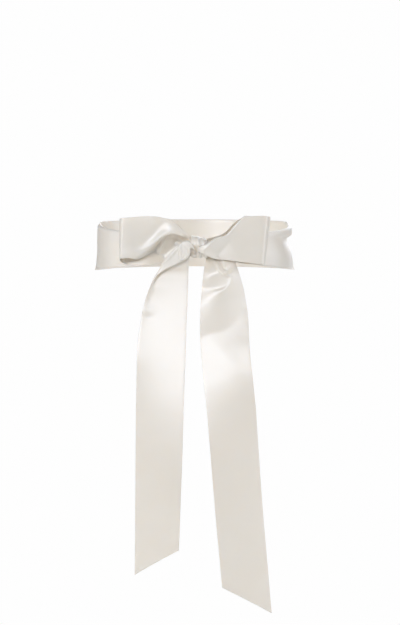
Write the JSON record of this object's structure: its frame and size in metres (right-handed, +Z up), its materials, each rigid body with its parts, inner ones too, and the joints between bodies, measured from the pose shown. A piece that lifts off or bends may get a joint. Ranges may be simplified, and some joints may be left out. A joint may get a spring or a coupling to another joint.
{
  "type": "satin sash",
  "caption": "Satin ribbon sash, worn round the waist and tied at the back in a bow with long tails cut on the slant.",
  "frame": {"origin": "middle of the waist opening, half way up the band", "axes": "+Z up along the wearer's spine; -Y the side of the bow, at the wearer's back; +X to the right of someone who looks at the bow"},
  "size_m": [0.2827, 0.2854, 0.5526],
  "materials": {
    "ivory_satin": "ivory double-face satin with a soft sheen"
  },
  "bodies": {
    "root": {"waistband": "ivory_satin", "left_loop": "ivory_satin", "right_loop": "ivory_satin", "left_tail": "ivory_satin", "right_tail": "ivory_satin", "knot_wrap": "ivory_satin", "knot_core": "ivory_satin"}
  },
  "joints": []
}
